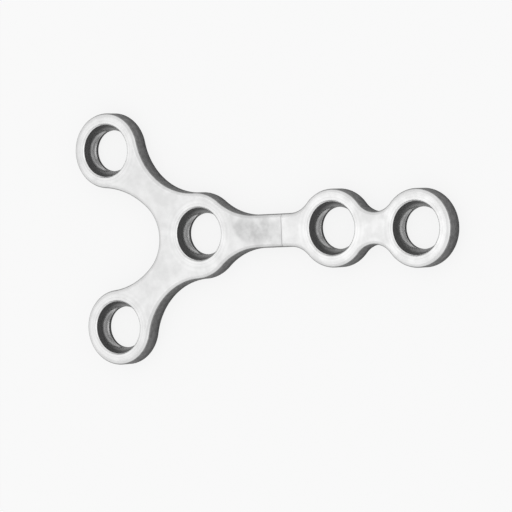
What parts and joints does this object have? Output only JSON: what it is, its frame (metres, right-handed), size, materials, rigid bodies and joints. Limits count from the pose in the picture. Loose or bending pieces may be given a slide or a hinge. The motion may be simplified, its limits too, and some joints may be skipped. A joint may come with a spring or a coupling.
{
  "type": "bone plate",
  "caption": "Flat orthopedic bone plate in a Y shape: ringed screw holes with rounded seats, a forked end, and a slim bar with a milled relief.",
  "frame": {"origin": "on the axis of the hub hole, where the fork's arms meet the bar, at the bone side", "axes": "+X along the bar towards the shaft end, +Y across the plate, +Z out of the front face, where the screw heads sit"},
  "size_m": [0.0242, 0.0141, 0.0011],
  "materials": {
    "plate": "satin"
  },
  "bodies": {
    "root": {"bone_plate": "plate"}
  },
  "joints": []
}
